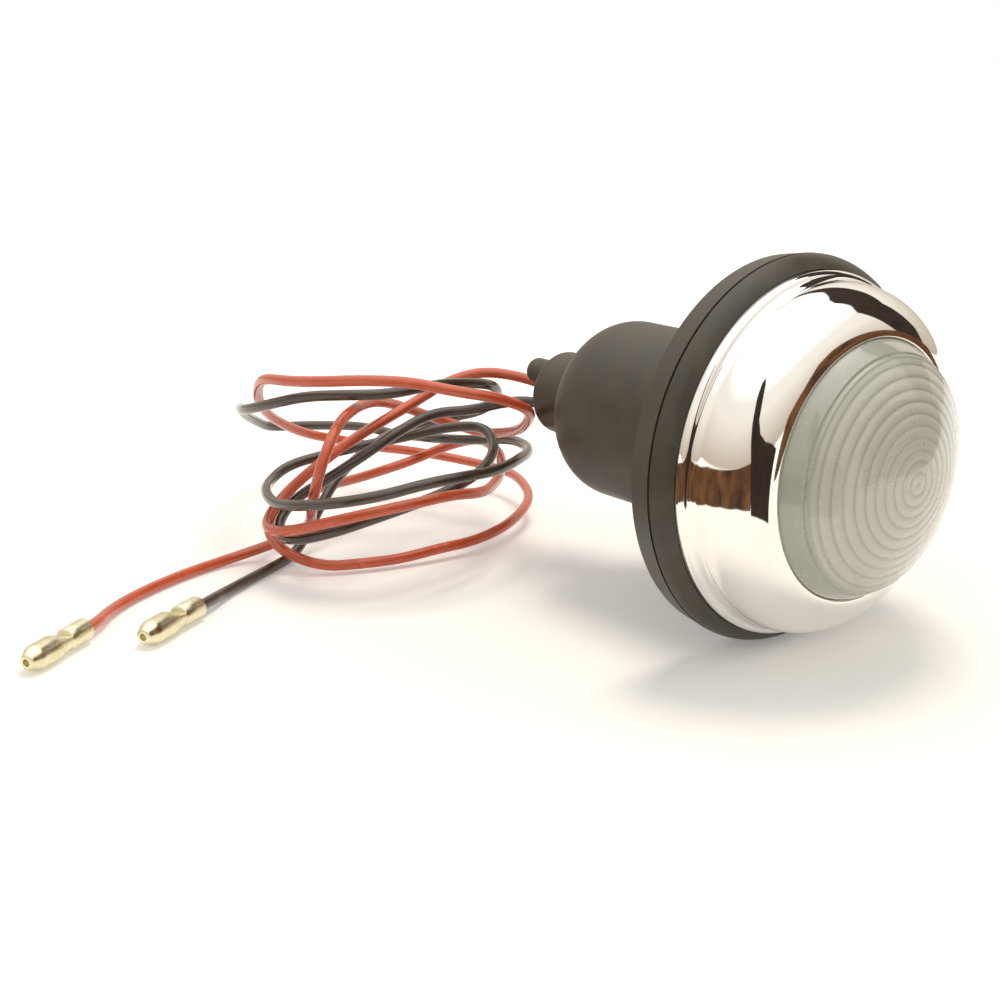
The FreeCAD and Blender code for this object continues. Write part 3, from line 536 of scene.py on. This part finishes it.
from_middle = node(glass_tree, "Math", {0: phase, 1: 0.5}, operation="SUBTRACT").outputs[0]
bulge = node(glass_tree, "Math", {0: from_middle, 1: from_middle}, operation="MULTIPLY").outputs[0]
inside = node(glass_tree, "Math", {0: 1.0, 1: outside}, operation="SUBTRACT").outputs[0]
relief = node(glass_tree, "Math", {0: bulge, 1: inside}, operation="MULTIPLY").outputs[0]
ring_bump = node(glass_tree, "Bump", {"Height": relief, "Strength": RING_STRENGTH,
                                      "Distance": RING_RELIEF}, invert=True)
glass_tree.links.new(ring_bump.outputs["Normal"], glass_shader.inputs["Normal"])
haze = node(glass_tree, "TexNoise", {"Vector": glass_place, "Scale": MM_PER_METRE / HAZE_MM,
                                     "Detail": NOISE_DETAIL}).outputs["Fac"]
dull = node(glass_tree, "MapRange", {"Value": haze, "From Min": NOISE_LOW, "From Max": NOISE_HIGH,
                                     "To Min": HAZE_ROUGH[0], "To Max": HAZE_ROUGH[1]})
glass_tree.links.new(dull.outputs[0], glass_shader.inputs["Roughness"])
glass_shader.inputs["Transmission Weight"].default_value = 0.25
glass_shader.inputs["IOR"].default_value = 1.5
glass_shader.inputs["Coat Weight"].default_value = 1.0
glass_shader.inputs["Coat Roughness"].default_value = 0.03
print("made", LENS_GLASS.name)

# %% [markdown]
# ## Clear bulb glass
# The bulb is blown from thin clear glass. It is seen only dimly behind the lens, but it is a real
# piece, so it gets real glass: full transmission with a faint waviness of the blown wall.

# %% Clear bulb glass
# It gives the eye a few bright edges and little else.
BULB_GLASS, bulb_tree, bulb_shader = new_material("clear_bulb_glass")
varied(bulb_tree, bulb_shader, dark="#F6F6F0", light="#FAFAF6", patch_mm=12.0,
       rough=(0.0, 0.02), grain_mm=4.0, grain_height_mm=0.002)
bulb_shader.inputs["Transmission Weight"].default_value = 1.0
bulb_shader.inputs["IOR"].default_value = 1.45
bulb_shader.inputs["Coat Weight"].default_value = 0.6
bulb_shader.inputs["Coat Roughness"].default_value = 0.03
print("made", BULB_GLASS.name)

# %% [markdown]
# ## Wire sleeves and laminate
# The sleeves are soft PVC, drawn hot through a die, which leaves them smooth and a little glossy.
# The disc behind the bulb is pressed brown paper and resin, and quite dull. All three are plain
# plastics, so one function makes them, and a thin clear coat gives the sleeves their shine.

# %% Wire sleeves and laminate
# The sleeves give the eye a strong colour with a thin light streak along the top. The marks of the
# die are finer than 0.1 mm, and they are drawn at 0.6 mm so that they show.


def plain_plastic(name, dark, light, rough, shine):
    """A moulded or drawn plastic, with a clear coat of the given weight."""
    material, tree, shader = new_material(name)
    varied(tree, shader, dark, light, patch_mm=6.0, rough=rough, grain_mm=0.6,
           grain_height_mm=0.006)
    shader.inputs["Coat Weight"].default_value = shine
    shader.inputs["Coat Roughness"].default_value = 0.12
    print("made", name)
    return material


RED_PVC = plain_plastic("red_pvc_insulation", "#D05632", "#DA643E", (0.2, 0.3), 0.6)
BLACK_PVC = plain_plastic("black_pvc_insulation", "#40342A", "#4C3F32", (0.2, 0.3), 0.6)
INSULATOR = plain_plastic("brown_paper_laminate", "#6A4527", "#7C5432", (0.55, 0.7), 0.0)

# %% [markdown]
# ## Brass and plated steel
# The terminals and the bulb's cap are bright brass, and the pressed pieces inside are plated
# steel. A polished metal would mirror like the rim, but these were tumbled clean in a drum, which
# leaves small scuffs. The two differ only in colour and in how dull they are, so one function
# makes both, and as metals they keep the shader's own IOR.

# %% Brass and plated steel
# They give the eye soft streaks of light in the metal's own colour. Tumbling marks are about
# 0.1 mm wide, and they are drawn at 0.5 mm so that they show.


def bare_metal(name, dark, light, rough):
    """A tumbled metal."""
    material, tree, shader = new_material(name)
    varied(tree, shader, dark, light, patch_mm=2.5, rough=rough, grain_mm=0.5,
           grain_height_mm=0.004)
    shader.inputs["Metallic"].default_value = 1.0
    print("made", name)
    return material


BRASS = bare_metal("bright_pale_brass", "#E0D8B0", "#EFE9CE", (0.24, 0.36))
STEEL = bare_metal("bright_plated_steel", "#CFCCC4", "#E0DED8", (0.22, 0.36))

# %% [markdown]
# ## Dressing the pieces
# The solids of the frame come with a plain material, which is cleared before theirs goes on. The
# pieces made here have none yet. One table for each kind keeps the whole list in view.

# %% Finishes of the solids
FINISHES = {
    "rubber_body": RUBBER,
    "base_plate": STEEL,
    "bulb_holder": STEEL,
    "contact_carrier": INSULATOR,
    "contact_tip": BRASS,
    "contact_spring": STEEL,
    "spring_washer": STEEL,
    "earth_tag": BRASS,
    "earth_rivet": STEEL,
    "bulb_cap": BRASS,
    "bulb_contact": STEEL,
    "bulb_glass": BULB_GLASS,
    "bulb_filament": STEEL,
    "red_wire_inner": RED_PVC,
    "black_wire_inner": BLACK_PVC,
}
for name, finish in FINISHES.items():
    nodes[name].data.materials.clear()
    nodes[name].data.materials.append(finish)
print("solids with a finish:", len(FINISHES))

# %% Finishes of the new pieces
NEW_FINISHES = [
    (rim, CHROME),
    (lens, LENS_GLASS),
    (red_bullet, BRASS),
    (black_bullet, BRASS),
    (red_wire, RED_PVC),
    (black_wire, BLACK_PVC),
]
for piece, finish in NEW_FINISHES:
    piece.data.materials.append(finish)
print("new pieces with a finish:", len(NEW_FINISHES))

# %% [markdown]
# ## The floor
# The lamp lies on a white sheet that fades into a white background. More light would whiten the
# sheet but wash out the lamp too. So the floor glows a little by itself, more with distance, and
# only for rays that look at it: those of the camera and those sent on by metal or glass. The light
# that falls on the lamp stays plain, and the floor still takes its shadow.

# %% Floor paint
# Matt white paint gives the eye an even sheet with a soft shadow.
GLOW_NEAR = 0.2
GLOW_FAR = 0.55
GLOW_FROM = 0.05
GLOW_TO = 0.5


def looked_at(tree):
    """1 for rays from the camera, a mirror or a glass, and 0 for light that bounces about."""
    path = node(tree, "LightPath").outputs
    mirrored = node(tree, "Math", {0: path["Is Glossy Ray"], 1: path["Is Transmission Ray"]},
                    operation="MAXIMUM").outputs[0]
    return node(tree, "Math", {0: path["Is Camera Ray"], 1: mirrored},
                operation="MAXIMUM").outputs[0]


floor_paint, floor_tree, floor_shader = new_material("white_studio_floor")
varied(floor_tree, floor_shader, dark="#F8F5EF", light="#FAF8F3", patch_mm=300.0,
       rough=(0.8, 0.9), grain_mm=2.0, grain_height_mm=0.001)
floor_shader.inputs["Specular IOR Level"].default_value = 0.1
floor_place = node(floor_tree, "TexCoord").outputs["Object"]
floor_reach = node(floor_tree, "VectorMath", {0: floor_place}, operation="LENGTH").outputs["Value"]
floor_glow = node(floor_tree, "MapRange", {"Value": floor_reach, "From Min": GLOW_FROM,
                                           "From Max": GLOW_TO, "To Min": GLOW_NEAR,
                                           "To Max": GLOW_FAR}).outputs[0]
floor_seen = node(floor_tree, "Math", {0: floor_glow, 1: looked_at(floor_tree)},
                  operation="MULTIPLY").outputs[0]
floor_tree.links.new(floor_seen, floor_shader.inputs["Emission Strength"])
print("made", floor_paint.name)

# %% Floor sheet
FLOOR_Z = -0.038
FLOOR_HALF = 6.0


def staged(name, bm, material):
    """A sheet of the studio, which is no piece of the object."""
    mesh = bpy.data.meshes.new(name)
    bm.to_mesh(mesh)
    bm.free()
    sheet = bpy.data.objects.new(name, mesh)
    sheet.data.materials.append(material)
    scene.collection.objects.link(sheet)
    print(name, "has", len(mesh.polygons), "faces")
    return sheet


floor_bm = bmesh.new()
bmesh.ops.create_grid(floor_bm, x_segments=1, y_segments=1, size=FLOOR_HALF)
bmesh.ops.translate(floor_bm, verts=floor_bm.verts, vec=(0.0, 0.0, FLOOR_Z))
staged("floor", floor_bm, floor_paint)

# %% [markdown]
# ## Cards for the rim to mirror
# Polished metal has no look of its own: in an all-white studio the rim would be blank, so a studio
# stands dark cards round it. A whole room could be built, but a few bent strips are enough. They
# show only in reflections, so they throw no shadow and take no light away. Each strip is drawn as
# the line of its feet, extruded, and then each new point is lifted to its height.

# %% Card paint
# Dull brown and near black give the rim its warm and its deep bands.
card_paint, card_tree, card_shader = new_material("dark_brown_card")
varied(card_tree, card_shader, dark="#24160E", light="#8A5E3A", patch_mm=30.0,
       rough=(0.8, 0.9), grain_mm=2.0, grain_height_mm=0.001)
dark_paint, dark_tree, dark_shader = new_material("near_black_card")
varied(dark_tree, dark_shader, dark="#14100E", light="#3A2A22", patch_mm=40.0,
       rough=(0.8, 0.9), grain_mm=2.0, grain_height_mm=0.001)
print("made", card_paint.name, "and", dark_paint.name)

# %% A card that only reflections see


def reflected_card(name, centre, reach, bands, material):
    """A standing strip round a centre. Each band is an angle from +X, then the strip's lower and
    upper edge as angles above the level, in degrees."""
    bm = bmesh.new()
    feet = []
    heads = []
    for turn, low, high in bands:
        x = centre[0] + reach * math.cos(math.radians(turn))
        y = centre[1] + reach * math.sin(math.radians(turn))
        foot = max(FLOOR_Z, centre[2] + reach * math.tan(math.radians(low)))
        feet.append(bm.verts.new((x, y, foot)))
        heads.append(centre[2] + reach * math.tan(math.radians(high)))
    foot_edges = [bm.edges.new(pair) for pair in zip(feet, feet[1:])]
    bmesh.ops.extrude_edge_only(bm, edges=foot_edges)
    for foot, head in zip(feet, heads):
        riser = [edge for edge in foot.link_edges if edge not in foot_edges][0]
        riser.other_vert(foot).co.z = head
    sheet = staged(name, bm, material)
    sheet.visible_camera = False
    sheet.visible_diffuse = False
    sheet.visible_shadow = False
    sheet.visible_transmission = False


print("cards stand no lower than", FLOOR_Z, "m")

# %% Cards round the rim
RIM_LEFT = (0.018, -0.028, 0.0)
RIM_TOP = (0.018, 0.0, 0.03)
RIM_FRONT = (0.022, -0.005, 0.012)
LOW_BANDS = [(-150, -22, -3), (-120, -22, 1), (-88, -24, 2), (-55, -25, 3), (-28, -26, 5)]
STAND_BANDS = [(-51, 46, 55), (-46, 30, 57), (-41, 18, 52), (-34, 4, 30), (-26, -26, 20),
               (-14, -26, 13), (0, -26, 8), (10, -26, 3)]
TOP_BANDS = [(60, 3, 38), (66, 1, 43), (72, 1, 46), (79, 8, 52), (86, 27, 57), (100, 31, 57),
             (112, 33, 52), (125, 32, 43), (139, 31, 36), (148, 30, 33)]
SIDE_BANDS = [(9, -18, 4), (14, -16, 7), (19, -14, 10), (24, -13, 18), (32, -13, 20),
              (42, -14, 18), (53, -13, 14), (65, -11, 9), (76, -4, 4)]
reflected_card("low_brown_card", RIM_LEFT, reach=0.09, bands=LOW_BANDS, material=card_paint)
reflected_card("dark_stand_card", RIM_LEFT, reach=0.08, bands=STAND_BANDS, material=dark_paint)
reflected_card("far_dark_card", RIM_TOP, reach=0.40, bands=TOP_BANDS, material=dark_paint)
reflected_card("side_brown_card", RIM_FRONT, reach=0.17, bands=SIDE_BANDS, material=card_paint)

# %% [markdown]
# ## The air of the studio
# The world is the light that comes from all round. A single white would light the lamp flatly, so
# it is warm grey near the level and white overhead. The camera sees plain white behind the floor.
# Mirrors and glass see it brighten toward the zenith, which puts a soft glow on the rim where a
# light would leave a hard square. Only the dimmer, plain level lights the object.

# %% World
SKY_LIGHT = 0.6
WARM_HEIGHT = 0.45
ZENITH_GLOW = 2.0
ZENITH_FROM = 0.6
PLAIN_WHITE = (1.0, 1.0, 1.0, 1.0)

world = bpy.data.worlds.new("studio_air")
world.use_nodes = True
air = world.node_tree
air_place = node(air, "TexCoord").outputs["Generated"]
height = node(air, "SeparateXYZ", {0: air_place}).outputs["Z"]
sky = node(air, "ValToRGB", {"Fac": height})
sky.color_ramp.elements[0].color = linear("#C9BBAA")
sky.color_ramp.elements[1].color = linear("#FFFFFF")
warm = sky.color_ramp.elements.new(WARM_HEIGHT)
warm.color = linear("#FFF8EE")
seen = node(air, "LightPath").outputs["Is Camera Ray"]
backdrop = node(air, "Mix", {"Factor": seen, COLOUR_A: sky.outputs["Color"],
                             COLOUR_B: PLAIN_WHITE}, data_type="RGBA")
air.links.new(backdrop.outputs[2], air.nodes["Background"].inputs["Color"])
zenith = node(air, "MapRange", {"Value": height, "From Min": ZENITH_FROM, "From Max": 1.0,
                                "To Min": 1.0, "To Max": ZENITH_GLOW}).outputs[0]
mirror_glow = node(air, "Mix", {"Factor": seen, NUMBER_A: zenith, NUMBER_B: 1.0},
                   data_type="FLOAT").outputs[0]
level = node(air, "Mix", {"Factor": looked_at(air), NUMBER_A: SKY_LIGHT, NUMBER_B: mirror_glow},
             data_type="FLOAT")
air.links.new(level.outputs[0], air.nodes["Background"].inputs["Strength"])
scene.world = world
print("the world lights the lamp at", SKY_LIGHT, "of white")

# %% [markdown]
# ## Two soft lights
# One wide light overhead lays the object's shadow on the floor, and a weak one in front opens the
# dark side of the boot. Small lights would give hard shadows, so both are broad squares. The rim
# would mirror them as white squares, so reflections pass them by. The Standard view shows a colour
# about as it is written.

# %% Lights


def soft_light(name, place, target, size, watts, colour):
    """A square light that faces a target and isn't mirrored."""
    data = bpy.data.lights.new(name, "AREA")
    data.shape = "SQUARE"
    data.size = size
    data.energy = watts
    data.color = linear(colour)[:3]
    light = bpy.data.objects.new(name, data)
    light.location = place
    light.rotation_euler = (Vector(target) - Vector(place)).to_track_quat("-Z", "Y").to_euler()
    light.visible_glossy = False
    scene.collection.objects.link(light)
    print(name, "gives", watts, "W over", size, "m")


soft_light("overhead", place=(-0.08, 0.10, 0.60), target=(-0.03, -0.03, 0), size=0.25, watts=1.9,
           colour="#FFF7EA")
soft_light("front_fill", place=(0.45, -0.75, 0.7), target=(0, 0, 0), size=0.5, watts=0.6,
           colour="#FFFDF8")
scene.view_settings.view_transform = "Standard"
